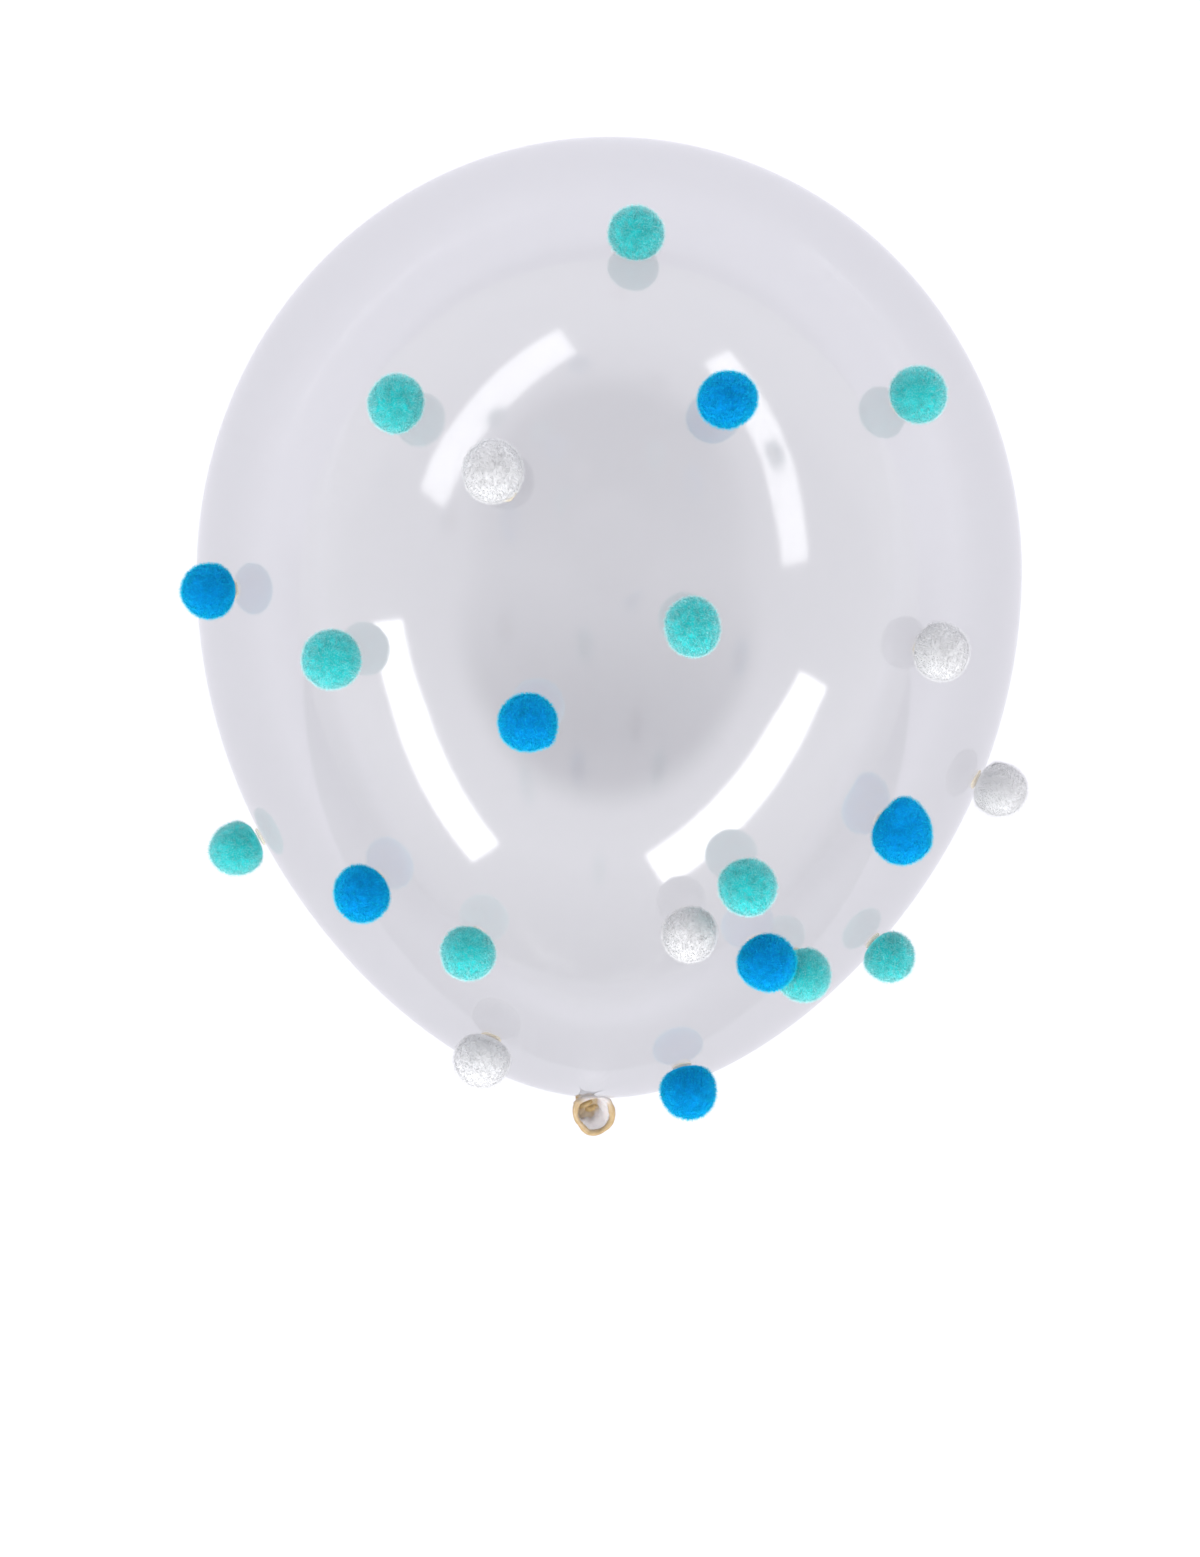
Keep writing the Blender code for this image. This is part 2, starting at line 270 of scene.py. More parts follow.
def turningTree():
    tree, given, out = newTree(
        "turnFilm", "GeometryNodeTree",
        {"Outline": "NodeSocketGeometry", "Steps": "NodeSocketInt", "Pleats": "NodeSocketInt",
         "Pleat Depth": "NodeSocketFloat", "Lean": "NodeSocketFloat", "Material": "NodeSocketMaterial"},
        {"Film": "NodeSocketGeometry"})
    link = tree.links.new
    curve = addNode(tree, "GeometryNodeMeshToCurve", (-650, 100))
    ring = addNode(tree, "GeometryNodeCurvePrimitiveCircle", (-650, -120), {"Radius": 1.0})
    radius = addNode(tree, "GeometryNodeInputNamedAttribute", (-650, -320), {"Name": "ringRadius"})
    turn = addNode(tree, "GeometryNodeCurveToMesh", (-420, 60))
    merge = addNode(tree, "GeometryNodeMergeByDistance", (-220, 60), {"Distance": 0.000002})
    link(given.outputs["Outline"], curve.inputs["Mesh"])
    link(given.outputs["Steps"], ring.inputs["Resolution"])
    link(curve.outputs["Curve"], turn.inputs["Curve"])
    link(ring.outputs["Curve"], turn.inputs["Profile Curve"])
    link(radius.outputs["Attribute"], turn.inputs["Scale"])
    link(turn.outputs["Mesh"], merge.inputs["Geometry"])

    gather = addNode(tree, "GeometryNodeInputNamedAttribute", (-420, -320), {"Name": "gathered"})
    place = addNode(tree, "GeometryNodeInputPosition", (-420, -480))
    parts = addNode(tree, "ShaderNodeSeparateXYZ", (-240, -480))
    link(place.outputs[0], parts.inputs[0])
    angle = mathNode(tree, "ARCTAN2", parts.outputs["Y"], parts.outputs["X"], (-60, -480))
    wave = mathNode(tree, "SINE", mathNode(tree, "MULTIPLY", angle, given.outputs["Pleats"], (100, -480)),
                    at=(260, -480))
    tight = mathNode(tree, "POWER", gather.outputs["Attribute"], 2.0, (-60, -300))
    depth = mathNode(tree, "MULTIPLY", given.outputs["Pleat Depth"], tight, (100, -300))
    amount = mathNode(tree, "MULTIPLY", wave, depth, (420, -400))
    normal = addNode(tree, "GeometryNodeInputNormal", (260, -640))
    push = addNode(tree, "ShaderNodeVectorMath", (600, -400), operation="SCALE")
    link(normal.outputs[0], push.inputs[0])
    link(amount, push.inputs["Scale"])
    aside = addNode(tree, "ShaderNodeCombineXYZ", (600, -600))
    link(mathNode(tree, "MULTIPLY", given.outputs["Lean"], tight, (420, -700)), aside.inputs["X"])
    both = addNode(tree, "ShaderNodeVectorMath", (760, -300), operation="SUBTRACT")
    link(push.outputs[0], both.inputs[0])
    link(aside.outputs[0], both.inputs[1])
    move = addNode(tree, "GeometryNodeSetPosition", (760, 60))
    link(merge.outputs["Geometry"], move.inputs["Geometry"])
    link(both.outputs[0], move.inputs["Offset"])
    smooth = addNode(tree, "GeometryNodeSetShadeSmooth", (920, 60))
    link(move.outputs["Geometry"], smooth.inputs["Geometry"])
    paint = addNode(tree, "GeometryNodeSetMaterial", (1100, 60))
    link(smooth.outputs["Geometry"], paint.inputs["Geometry"])
    link(given.outputs["Material"], paint.inputs["Material"])
    link(paint.outputs["Geometry"], out.inputs["Film"])
    return tree


# shared shader groups

def cloudGroup():
    # soft cloudy mask on the balloon, from its own coordinates
    tree, given, out = newTree("latexCloud", "ShaderNodeTree",
                               {"Vector": "NodeSocketVector", "Size": "NodeSocketFloat",
                                "Contrast": "NodeSocketFloat"},
                               {"Mask": "NodeSocketFloat"})
    cloud = addNode(tree, "ShaderNodeTexNoise", (-500, 0), {"Detail": 4.0})
    tree.links.new(given.outputs["Vector"], cloud.inputs["Vector"])
    tree.links.new(given.outputs["Size"], cloud.inputs["Scale"])
    centred = mathNode(tree, "SUBTRACT", cloud.outputs["Fac"], 0.5, (-250, 0))
    spread = mathNode(tree, "MULTIPLY", centred, given.outputs["Contrast"], (-50, 0))
    mask = addNode(tree, "ShaderNodeMath", (150, 0), {1: 0.5}, operation="ADD", use_clamp=True)
    tree.links.new(spread, mask.inputs[0])
    tree.links.new(mask.outputs[0], out.inputs["Mask"])
    return tree


def fibreGroup():
    # colour of a pom-pom's fibres, patchy in tufts: painted shade deep between them and on the core, painted
    # light on their tips
    tree, given, out = newTree("fibreColour", "ShaderNodeTree",
                               {"Shaded Root": "NodeSocketColor", "Body": "NodeSocketColor",
                                "Lit Tip": "NodeSocketColor", "Tuft Scale": "NodeSocketFloat",
                                "Mottle": "NodeSocketFloat"},
                               {"Color": "NodeSocketColor", "Height": "NodeSocketFloat"})
    link = tree.links.new
    share = addNode(tree, "ShaderNodeAttribute", (-700, 200), attribute_name="tipShare")
    tint = addNode(tree, "ShaderNodeAttribute", (-700, -250), attribute_name="fibreTint")
    spot = addNode(tree, "ShaderNodeTexCoord", (-900, -50))
    tufts = addNode(tree, "ShaderNodeTexNoise", (-700, -50), {"Detail": 3.0})
    link(spot.outputs["Object"], tufts.inputs["Vector"])
    link(given.outputs["Tuft Scale"], tufts.inputs["Scale"])
    # painted shade at the roots fades into the body colour, and painted light lifts the tips
    rise = mathNode(tree, "POWER", share.outputs["Fac"], 0.45, (-520, 200))
    low = mixColours(tree, rise, given.outputs["Shaded Root"], given.outputs["Body"], (-350, 200))
    patch = mathNode(tree, "MULTIPLY", tufts.outputs["Fac"], tint.outputs["Fac"], (-350, -100))
    end = mathNode(tree, "POWER", share.outputs["Fac"], 2.0, (-350, 0))
    lift = mathNode(tree, "MULTIPLY", patch, end, (-200, -50))
    high = mixColours(tree, lift, low, given.outputs["Lit Tip"], (-100, 150))
    shade = addNode(tree, "ShaderNodeHueSaturation", (150, 100))
    uneven = mathNode(tree, "SUBTRACT", tufts.outputs["Fac"], 0.5, (-200, -250))
    mottle = mathNode(tree, "MULTIPLY", uneven, given.outputs["Mottle"], (-80, -200))
    value = mathNode(tree, "ADD", mottle, 1.0, (40, -200))
    link(value, shade.inputs["Value"])
    link(high, shade.inputs["Color"])
    link(shade.outputs["Color"], out.inputs["Color"])
    link(tufts.outputs["Fac"], out.inputs["Height"])
    return tree


def thicknessGroup():
    # latex gets more solid, then pale, then amber as it gets thicker
    tree, given, out = newTree("latexThickness", "ShaderNodeTree",
                               {"Film": "NodeSocketColor", "Pale": "NodeSocketColor",
                                "Amber": "NodeSocketColor", "Thin Alpha": "NodeSocketFloat"},
                               {"Color": "NodeSocketColor", "Alpha": "NodeSocketFloat"})
    build = addNode(tree, "ShaderNodeAttribute", (-700, 200), attribute_name="latexBuild")
    tone = given.outputs["Film"]
    for socket, key, at in (("Pale", "paleBuild", -350), ("Amber", "amberBuild", 0)):
        reach = rangeNode(tree, build.outputs["Fac"], *film[key], at=(at - 150, 250))
        tone = mixColours(tree, reach, tone, given.outputs[socket], (at, 0))
    tree.links.new(tone, out.inputs["Color"])
    spare = mathNode(tree, "SUBTRACT", film["thickAlpha"], given.outputs["Thin Alpha"], (-300, -250))
    added = mathNode(tree, "MULTIPLY", build.outputs["Fac"], spare, (-100, -250))
    alpha = mathNode(tree, "ADD", added, given.outputs["Thin Alpha"], (100, -250))
    tree.links.new(alpha, out.inputs["Alpha"])
    return tree


def cloudMask(tree, vector, size, contrast, at):
    cloud = addNode(tree, "ShaderNodeGroup", at, node_tree=latexCloud)
    setInputs(cloud, {"Size": size, "Contrast": contrast})
    tree.links.new(vector, cloud.inputs["Vector"])
    return cloud.outputs["Mask"]


latexCloud = cloudGroup()
latexThickness = thicknessGroup()
fibreColour = fibreGroup()


# film

def addThickness(tree, filmTone, amberTone, shader):
    thick = addNode(tree, "ShaderNodeGroup", (-150, -100), node_tree=latexThickness)
    setInputs(thick, {"Pale": (*film["paleColour"], 1.0), "Thin Alpha": film["alpha"]})
    feed(tree, filmTone, thick.inputs["Film"])
    feed(tree, amberTone, thick.inputs["Amber"])
    tree.links.new(thick.outputs["Color"], shader.inputs["Base Color"])
    tree.links.new(thick.outputs["Alpha"], shader.inputs["Alpha"])


def clearLatex(name, thickening):
    # stretched latex; near the neck it thickens as the attribute latexBuild says
    material, tree, shader = plainMaterial(name)
    spot = addNode(tree, "ShaderNodeTexCoord", (-1000, 0))
    own = addNode(tree, "ShaderNodeMapping", (-800, 0), {"Location": -middle, "Scale": film["cloudStretch"]})
    tree.links.new(spot.outputs["Object"], own.inputs["Vector"])
    cloud = cloudMask(tree, own.outputs["Vector"], film["cloudSize"], film["cloudContrast"], (-580, 0))
    tone = mixColours(tree, cloud, film["colour"], film["cloudColour"], (-350, 0))
    setInputs(shader, {"Roughness": film["roughness"], "IOR": film["ior"],
                        "Specular IOR Level": film["specular"]})
    if thickening:
        addThickness(tree, tone, (*film["paleColour"], 1.0), shader)
    else:
        tree.links.new(tone, shader.inputs["Base Color"])
        shader.inputs["Alpha"].default_value = film["alpha"]
    return material


amber = {
    "deep": (0.36, 0.245, 0.100),
    "light": (0.47, 0.340, 0.175),
    "cloudSize": 420.0,
    "cloudContrast": 2.5,
    "bump": 0.35,
    "bumpDepth": 0.0003,
    "roughness": 0.28,
    "ior": 1.52,
    "specular": 0.25,
    "glow": 0.15,
    "glowReach": (0.004, 0.002, 0.001),
}


def gatheredLatex():
    # latex of the knot and tail
    material, tree, shader = plainMaterial("gatheredLatex")
    spot = addNode(tree, "ShaderNodeTexCoord", (-900, -200))
    cloud = cloudMask(tree, spot.outputs["Object"], amber["cloudSize"], amber["cloudContrast"], (-650, -200))
    tone = mixColours(tree, cloud, amber["deep"], amber["light"], (-450, -100))
    addThickness(tree, (*film["mouthColour"], 1.0), tone, shader)
    addBump(tree, cloud, amber["bump"], amber["bumpDepth"], shader, (-250, -400))
    setInputs(shader, {"Roughness": amber["roughness"], "IOR": amber["ior"],
                        "Specular IOR Level": amber["specular"], "Subsurface Weight": amber["glow"],
                        "Subsurface Radius": amber["glowReach"]})
    return material


filmLatex = clearLatex("clearLatex", False)
neckLatex = clearLatex("neckLatex", True)
amberLatex = gatheredLatex()


def makeFilm():
    rings = filmOutline()
    mesh = bpy.data.meshes.new("filmOutline")
    mesh.from_pydata([(0.0, 0.0, ring[1]) for ring in rings],
                     [(i, i + 1) for i in range(len(rings) - 1)], [])
    for name, column in (("ringRadius", 0), ("gathered", 2), ("latexBuild", 3)):
        attribute = mesh.attributes.new(name, "FLOAT", "POINT")
        attribute.data.foreach_set("value", [ring[column] for ring in rings])
    outline = addPiece("filmOutline", mesh)
    skin = bakeTree(outline, turningTree(), {
        "Steps": film["steps"], "Pleats": film["pleats"], "Pleat Depth": film["pleatDepth"],
        "Lean": film["neckLean"], "Material": filmLatex}, "filmSkin")
    skin.transform(ownFrame)
    shape = bmesh.new()
    shape.from_mesh(skin)
    for vertex in shape.verts:
        vertex.co.z = max(vertex.co.z, 0.0)      # the film settles flat where it lies
    bmesh.ops.recalc_face_normals(shape, faces=shape.faces)
    build = shape.verts.layers.float["latexBuild"]
    for face in shape.faces:
        thick = max(vertex[build] for vertex in face.verts)
        face.material_index = 1 if thick > 0 else 0
    shape.to_mesh(skin)
    shape.free()
    skin.materials.clear()
    skin.materials.append(filmLatex)
    skin.materials.append(neckLatex)
    skin.shade_smooth()
    piece = addPiece("balloon_film", skin)
    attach(piece, "root")
    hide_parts("balloon")
    return piece


filmPiece = makeFilm()
print("balloon: film turned,", len(filmPiece.data.polygons), "faces")


# knot and tail

knot = {
    "start": 0.0107,           # centre, beyond the egg's end
    "loopRadius": 0.0024,
    "loopSwing": 0.0009,
    "loopHeight": 0.0014,
    "bandRadius": 0.00140,
    "points": 96,
    "sides": 16,
}

tail = {
    "seat": 0.0108,            # beyond the egg's end
    "aside": -0.0053,
    "drift": -0.0010,          # the deep part lies to the left of the mouth
    "length": 0.0100,
    "rootRadius": 0.0026,
    "mouthRadius": 0.0080,
    "rimRadius": 0.00118,
    "wall": 0.00045,
    "mouthDepth": 0.0072,
    "fold": 84.0,
    "turn": 20.0,
    "sides": 96,
    "rows": 22,
    "rimRows": 14,
    "wrinkle": 0.0006,
    "clearSide": (85.0, 28.0),           # the rim is thin and clear round this angle, this far
    "clearThinning": 0.6,
    "rimBuild": (0.90, 0.84),            # thickness of the rim, and how much less on the clear side
    "outerBuild": (0.95, 1.1, 0.22),     # at the root, its fall to the rim, and the least
    "innerBuild": (0.9, 1.3, 0.27),
}


def ringLoft(rings, builds, closed=True):
    # faces between rings of equal length, and a fan that closes each end
    shape = bmesh.new()
    build = shape.verts.layers.float.new("latexBuild")
    loops = [[shape.verts.new(point) for point in ring] for ring in rings]
    count = len(loops[0])
    for loop, amount in zip(loops, builds):
        for i, vertex in enumerate(loop):
            vertex[build] = amount[i] if isinstance(amount, list) else amount
    for low, high in zip(loops, loops[1:]):
        for i in range(count):
            shape.faces.new((low[i], low[(i + 1) % count], high[(i + 1) % count], high[i]))
    for loop in (loops[0], loops[-1]) if closed else ():
        hub = shape.verts.new(sum((vertex.co for vertex in loop), Vector()) / count)
        hub[build] = loop[0][build]
        for i in range(count):
            shape.faces.new((loop[i], loop[(i + 1) % count], hub))
    return shape, loops


def makeKnot():
    centre = Vector((-film["neckLean"], 0.0, -film["neckReach"] - knot["start"]))
    path = []
    for i in range(knot["points"]):
        turn = 4 * math.pi * i / knot["points"]
        reach = knot["loopRadius"] + knot["loopSwing"] * math.cos(1.5 * turn)
        path.append(Vector((reach * math.cos(turn), reach * math.sin(turn),
                            knot["loopHeight"] * math.sin(1.5 * turn))))
    rings = []
    for i, point in enumerate(path):
        ahead = (path[(i + 1) % len(path)] - path[i - 1]).normalized()
        across = ahead.cross(Vector((0, 0, 1))).normalized()
        up = across.cross(ahead)
        ring = []
        for side in range(knot["sides"]):
            angle = 2 * math.pi * side / knot["sides"]
            radius = knot["bandRadius"] * (1 + 0.09 * math.sin(5 * angle + i * 0.35))
            ring.append(centre + point + across * radius * math.cos(angle) + up * radius * math.sin(angle))
        rings.append(ring)
    shape, loops = ringLoft(rings, [1.0] * len(rings), closed=False)
    count = knot["sides"]
    for i in range(count):
        shape.faces.new((loops[-1][i], loops[-1][(i + 1) % count], loops[0][(i + 1) % count], loops[0][i]))
    bmesh.ops.recalc_face_normals(shape, faces=shape.faces)
    mesh = bpy.data.meshes.new("knot")
    shape.to_mesh(mesh)
    shape.free()
    return mesh


# the mouth isn't round: how far the rim reaches at each angle, as a share of its radius
mouthReach = [(7, 1.05), (33, 1.09), (47, 1.20), (68, 1.20), (92, 1.18), (112, 1.26), (134, 1.40),
              (157, 1.20), (177, 1.04), (202, 0.87), (220, 0.87), (238, 0.92), (257, 1.06), (272, 1.15),
              (294, 1.22), (314, 1.24), (330, 1.20), (343, 1.14), (367, 1.05)]


def mouthShape(angle):
    angle = (angle - 7) % 360 + 7
    for (low, before), (high, after) in zip(mouthReach, mouthReach[1:]):
        if angle <= high:
            share = (angle - low) / (high - low)
            return before + (after - before) * share
    return mouthReach[-1][1]


def makeTail():
    steps = tail["sides"]
    angles = [360 * side / steps for side in range(steps)]
    rimReach = tail["mouthRadius"] - tail["rimRadius"]

    def wallRing(height, inward):
        share = height / tail["length"]
        reach = tail["rootRadius"] + (rimReach - tail["rootRadius"]) * math.sqrt(share)
        ring = []
        for angle in angles:
            turn = math.radians(angle)
            shape = 1 + (mouthShape(angle) - 1) * share
            crease = tail["wrinkle"] * (1 - share) * math.sin(7 * turn + 9 * share)
            around = Vector((math.cos(turn) * 2, math.sin(turn) * 2, share * 3))
            crease += tail["wrinkle"] * 0.6 * noise.noise(around)
            radius = reach * shape + crease - inward
            ring.append(Vector((radius * math.cos(turn) + tail["drift"] * (1 - share),
                                radius * math.sin(turn), height)))
        return ring

    def clearSide(angle):
        # 1 on the side behind the film, and 0 away from it
        centre, width = tail["clearSide"]
        return math.exp(-((angle - centre) / width) ** 2)

    def rimRing(around):
        ring = []
        for angle in angles:
            turn = math.radians(angle)
            thick = tail["rimRadius"] * (1 + 0.10 * math.sin(3 * turn + 1.0) + 0.05 * math.sin(8 * turn))
            thick *= 1 - tail["clearThinning"] * clearSide(angle)
            radius = rimReach * mouthShape(angle) + thick * math.cos(around)
            lift = 0.0005 * math.sin(2 * turn + 0.7)
            ring.append(Vector((radius * math.cos(turn), radius * math.sin(turn),
                                tail["length"] + lift + thick * math.sin(around))))
        return ring

    def wallBuild(key, share):
        root, fall, least = tail[key]
        return max(root - fall * share, least)

    rings = []
    builds = []
    for row in range(tail["rows"]):
        share = row / tail["rows"]
        rings.append(wallRing((tail["length"] - tail["rimRadius"]) * share, 0.0))
        builds.append(wallBuild("outerBuild", share))
    full, less = tail["rimBuild"]
    for row in range(tail["rimRows"] + 1):
        rings.append(rimRing(math.radians(-60 + 270 * row / tail["rimRows"])))
        builds.append([full - less * clearSide(angle) for angle in angles])
    for row in range(tail["rows"], 0, -1):
        share = row / tail["rows"]
        height = tail["length"] - tail["mouthDepth"] + (tail["mouthDepth"] - tail["rimRadius"]) * share
        rings.append(wallRing(height, tail["wall"]))
        builds.append(wallBuild("innerBuild", share))
    shape, loops = ringLoft(rings, builds)
    bmesh.ops.recalc_face_normals(shape, faces=shape.faces)
    mesh = bpy.data.meshes.new("tail")
    shape.to_mesh(mesh)
    shape.free()
    turned = Matrix.Rotation(math.radians(tail["turn"]), 4, "Z") @ Matrix.Rotation(
        math.radians(180 - tail["fold"]), 4, "X")
    mesh.transform(Matrix.Translation((tail["aside"], 0.0, -film["neckReach"] - tail["seat"])) @ turned)
    return mesh


def makeNeckEnd():
    for name, mesh in (("balloon_knot", makeKnot()), ("balloon_tail", makeTail())):
        mesh.transform(ownFrame)
        mesh.materials.append(amberLatex)
        mesh.shade_smooth()
        piece = addPiece(name, mesh)
        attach(piece, "root")
        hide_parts("balloon")


makeNeckEnd()
print("balloon: knot tied, tail and rolled rim made")


# pom-poms

pompom = {
    "fibres": 6200,
    "fibreLength": 0.0016,
    "fibreWidth": 0.00016,
    "splay": 0.74,
    "coreGrow": 0.0005,
    "feltDepth": 0.0002,
    "feltScale": 1300.0,
    "lumpDepth": 0.0012,
    "lumpScale": 130.0,
    "tuftScale": 380.0,
    "mottle": {"teal": 0.90, "blue": 0.80, "white": 0.08},
    "sheen": {"teal": 0.7, "blue": 0.7, "white": 0.1},
    "roughness": 0.88,
    "specular": 0.08,
    "softness": 0.5,
    "softReach": 0.0015,
    "sheenRoughness": 0.45,
    "bump": 0.25,
    "bumpDepth": 0.0003,
    "swellHeights": (0.001, 0.006),        # over the film: no swelling yet, full swelling
    "hairHeights": (0.0012, 0.0055),       # over the film: short hairs, full hairs
    "shortHair": 0.22,
    "hairSizes": (0.62, 1.12),
    "tints": (0.5, 1.9),
    "tuftStart": 0.55,
    "tuftPower": 8.0,
    # where a tuft is pulled out, as right, towards the crown and out, and how far
    "tufts": {"pompom_blue_5": ((-0.30, 0.95, 0.0), 0.0030),
              "pompom_blue_3": ((0.80, -0.60, 0.05), 0.0010)},
    # root is painted shade between the fibres and on the core, tip is painted light on the fibre ends, body
    # is the fibres' own colour
    "colours": {
        "teal": {"root": (0.012, 0.500, 0.505), "body": (0.035, 0.660, 0.665), "litTip": (0.480, 0.900, 0.890)},
        "blue": {"root": (0.000, 0.230, 0.570), "body": (0.000, 0.345, 0.690), "litTip": (0.004, 0.560, 0.850)},
        "white": {"root": (0.680, 0.680, 0.690), "body": (0.690, 0.690, 0.700), "litTip": (0.710, 0.710, 0.715)},
    },
}


def fuzzTree():
    # fibres on a core: three-sided tapering hairs, splayed and cut short near the film
    tree, given, out = newTree(
        "pompomFuzz", "GeometryNodeTree",
        {"Core": "NodeSocketGeometry", "Density": "NodeSocketFloat", "Fibre Length": "NodeSocketFloat",
         "Fibre Width": "NodeSocketFloat", "Splay": "NodeSocketFloat", "Felt Depth": "NodeSocketFloat",
         "Felt Scale": "NodeSocketFloat", "Lump Depth": "NodeSocketFloat", "Lump Scale": "NodeSocketFloat",
         "Centre": "NodeSocketVector", "Tuft": "NodeSocketVector", "Tuft Length": "NodeSocketFloat",
         "Seed": "NodeSocketInt", "Material": "NodeSocketMaterial"},
        {"Pompom": "NodeSocketGeometry"})
    link = tree.links.new

    hair = addNode(tree, "GeometryNodeMeshCone", (-700, -500), {"Vertices": 3, "Radius Top": 0.0})
    link(mathNode(tree, "MULTIPLY", given.outputs["Fibre Width"], 0.5, (-880, -500)),
         hair.inputs["Radius Bottom"])
    link(given.outputs["Fibre Length"], hair.inputs["Depth"])
    place = addNode(tree, "GeometryNodeInputPosition", (-700, -800))
    parts = addNode(tree, "ShaderNodeSeparateXYZ", (-540, -800))
    link(place.outputs[0], parts.inputs[0])
    share = mathNode(tree, "DIVIDE", parts.outputs["Z"], given.outputs["Fibre Length"], (-380, -800))
    keepShare = addNode(tree, "GeometryNodeStoreNamedAttribute", (-100, -500), {"Name": "tipShare"},
                        data_type="FLOAT", domain="POINT")
    link(hair.outputs["Mesh"], keepShare.inputs["Geometry"])
    link(share, keepShare.inputs["Value"])

    # felted, uneven surface of the core, with a tuft pulled out of some
    where = addNode(tree, "GeometryNodeInputPosition", (-1300, 420))
    rises = []
    for kind, at in (("Felt", 420), ("Lump", 640)):
        matted = addNode(tree, "ShaderNodeTexNoise", (-900, at), {"Detail": 2.0}, noise_dimensions="4D")
        link(where.outputs[0], matted.inputs["Vector"])
        link(given.outputs["Seed"], matted.inputs["W"])
        link(given.outputs[kind + " Scale"], matted.inputs["Scale"])
        centred = mathNode(tree, "SUBTRACT", matted.outputs["Fac"], 0.5, (-740, at))
        rises.append(mathNode(tree, "MULTIPLY", centred, given.outputs[kind + " Depth"], (-580, at)))
    apart = addNode(tree, "ShaderNodeVectorMath", (-1120, 860), operation="SUBTRACT")
    link(where.outputs[0], apart.inputs[0])
    link(given.outputs["Centre"], apart.inputs[1])
    toward = addNode(tree, "ShaderNodeVectorMath", (-940, 860), operation="NORMALIZE")
    link(apart.outputs[0], toward.inputs[0])
    along = addNode(tree, "ShaderNodeVectorMath", (-760, 860), operation="DOT_PRODUCT")
    link(toward.outputs[0], along.inputs[0])
    link(given.outputs["Tuft"], along.inputs[1])
    pull = rangeNode(tree, along.outputs["Value"], pompom["tuftStart"], 1.0, at=(-580, 860), kind="LINEAR")
    point = mathNode(tree, "POWER", pull, pompom["tuftPower"], (-400, 980))
    tuft = mathNode(tree, "MULTIPLY", point, given.outputs["Tuft Length"], (-400, 860))
    rise = mathNode(tree, "ADD", mathNode(tree, "ADD", rises[0], rises[1], (-420, 520)), tuft, (-420, 420))
    foot = addNode(tree, "ShaderNodeSeparateXYZ", (-740, 260))
    link(where.outputs[0], foot.inputs[0])
    free = rangeNode(tree, foot.outputs["Z"], *pompom["swellHeights"], at=(-580, 260))
    outward = addNode(tree, "GeometryNodeInputNormal", (-580, 120))
    lump = addNode(tree, "ShaderNodeVectorMath", (-260, 320), operation="SCALE")
    link(outward.outputs[0], lump.inputs[0])
    link(mathNode(tree, "MULTIPLY", rise, free, (-420, 300)), lump.inputs["Scale"])
    felt = addNode(tree, "GeometryNodeSetPosition", (-80, 320))
    link(given.outputs["Core"], felt.inputs["Geometry"])
    link(lump.outputs[0], felt.inputs["Offset"])

    spread = addNode(tree, "GeometryNodeDistributePointsOnFaces", (-500, 0))
    link(felt.outputs["Geometry"], spread.inputs["Mesh"])
    link(given.outputs["Density"], spread.inputs["Density"])
    link(given.outputs["Seed"], spread.inputs["Seed"])

    # shorter hairs low down, where the film is
    spot = addNode(tree, "GeometryNodeInputPosition", (-500, -120))
    height = addNode(tree, "ShaderNodeSeparateXYZ", (-340, -120))
    link(spot.outputs[0], height.inputs[0])
    clear = rangeNode(tree, height.outputs["Z"], *pompom["hairHeights"], pompom["shortHair"], at=(-160, -120))
    small, large = pompom["hairSizes"]
    vary = addNode(tree, "FunctionNodeRandomValue", (-160, -320), {2: small, 3: large}, data_type="FLOAT")
    link(given.outputs["Seed"], vary.inputs["Seed"])
    size = mathNode(tree, "MULTIPLY", clear, vary.outputs[1], (20, -220))

    plant = addNode(tree, "GeometryNodeInstanceOnPoints", (200, 100))
    link(spread.outputs["Points"], plant.inputs["Points"])
    link(keepShare.outputs["Geometry"], plant.inputs["Instance"])
    link(spread.outputs["Rotation"], plant.inputs["Rotation"])
    link(size, plant.inputs["Scale"])

    low = addNode(tree, "ShaderNodeCombineXYZ", (200, -200))
    high = addNode(tree, "ShaderNodeCombineXYZ", (200, -340))
    down = mathNode(tree, "MULTIPLY", given.outputs["Splay"], -1.0, (40, -420))
    for axis in ("X", "Y"):
        link(down, low.inputs[axis])
        link(given.outputs["Splay"], high.inputs[axis])
    low.inputs["Z"].default_value = -math.pi
    high.inputs["Z"].default_value = math.pi
    lean = addNode(tree, "FunctionNodeRandomValue", (380, -200), data_type="FLOAT_VECTOR")
    link(low.outputs[0], lean.inputs[0])
    link(high.outputs[0], lean.inputs[1])
    link(given.outputs["Seed"], lean.inputs["Seed"])
    turn = addNode(tree, "GeometryNodeRotateInstances", (560, 100))
    link(plant.outputs["Instances"], turn.inputs["Instances"])
    link(lean.outputs[0], turn.inputs["Rotation"])
    pale, deep = pompom["tints"]
    tint = addNode(tree, "FunctionNodeRandomValue", (560, -200), {2: pale, 3: deep}, data_type="FLOAT")
    tintSeed = mathNode(tree, "ADD", given.outputs["Seed"], 7, (400, -420))
    link(tintSeed, tint.inputs["Seed"])
    keepTint = addNode(tree, "GeometryNodeStoreNamedAttribute", (740, 100), {"Name": "fibreTint"},
                       data_type="FLOAT", domain="INSTANCE")
    link(turn.outputs["Instances"], keepTint.inputs["Geometry"])
    link(tint.outputs[1], keepTint.inputs["Value"])
    real = addNode(tree, "GeometryNodeRealizeInstances", (900, 100))
    link(keepTint.outputs["Geometry"], real.inputs["Geometry"])
